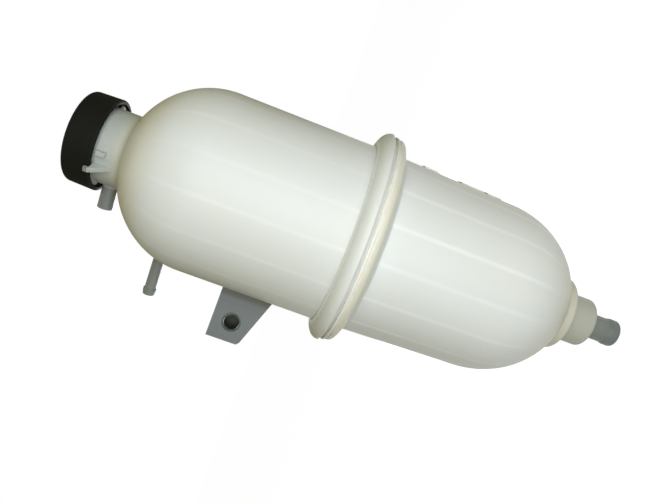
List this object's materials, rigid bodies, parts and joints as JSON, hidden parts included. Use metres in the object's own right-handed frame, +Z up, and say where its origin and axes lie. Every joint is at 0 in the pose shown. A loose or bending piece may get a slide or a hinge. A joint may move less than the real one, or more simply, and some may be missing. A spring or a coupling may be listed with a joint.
{
  "type": "coolant expansion tank",
  "caption": "Two-half cylindrical plastic expansion tank with a welded waist flange, stepped outlet spigot, hose nipples, side lug and a screwed pressure cap with valves.",
  "frame": {"origin": "centre of the open end of the outlet spigot, on the tank's axis", "axes": "+Z up the tank's axis towards the filler cap, -X towards the mounting lug, -Y towards the side seen in the picture"},
  "size_m": [0.1804, 0.1542, 0.4092],
  "materials": {
    "natural_pp": "natural unpigmented polypropylene, injection moulded, satin and slightly translucent",
    "black_plastic": "black glass-filled polyamide, moulded, satin",
    "valve_plastic": "dark grey acetal, moulded",
    "slip_plastic": "white low-friction plastic",
    "black_rubber": "EPDM rubber",
    "spring_steel": "drawn spring steel",
    "bush_steel": "zinc plated drawn steel"
  },
  "bodies": {
    "tank": {"upper_shell": "natural_pp", "lower_shell": "natural_pp", "lug_bush": "bush_steel"},
    "cap_core": {"cap_insert": "valve_plastic", "cap_gasket": "black_rubber", "neck_o_ring": "black_rubber", "slip_washer": "slip_plastic", "spring_seat": "valve_plastic", "relief_spring": "spring_steel"},
    "cap_outer": {"cap_shell": "black_plastic", "cap_retainer": "spring_steel"},
    "relief_valve": {"relief_plate": "valve_plastic", "relief_seal": "black_rubber", "vacuum_spring": "spring_steel"},
    "vacuum_valve": {"vacuum_stem": "valve_plastic", "vacuum_seal": "black_rubber", "vacuum_clip": "spring_steel"}
  },
  "joints": [
    {"name": "cap_lift", "type": "slide", "parent": "tank", "child": "cap_core", "axis": [0, 0, 1], "range_m": [0, 0.015]},
    {"name": "cap_turn", "type": "hinge", "parent": "cap_core", "child": "cap_outer", "pos_m": [0, 0, 0.3944], "axis": [0, 0, 1], "range_deg": [0, 540]},
    {"name": "relief_open", "type": "slide", "parent": "cap_core", "child": "relief_valve", "axis": [0, 0, 1], "range_m": [0, 0.0018], "stiffness_N_per_m": 2330, "springref_m": -0.0073, "deforming": ["relief_spring"]},
    {"name": "vacuum_open", "type": "slide", "parent": "relief_valve", "child": "vacuum_valve", "axis": [0, 0, -1], "range_m": [0, 0.0015], "stiffness_N_per_m": 1230, "springref_m": -0.001, "deforming": ["vacuum_spring"]}
  ],
  "couplings": [
    {"joint": "cap_turn", "follows": "cap_lift", "rad_per_m": 628.32}
  ]
}
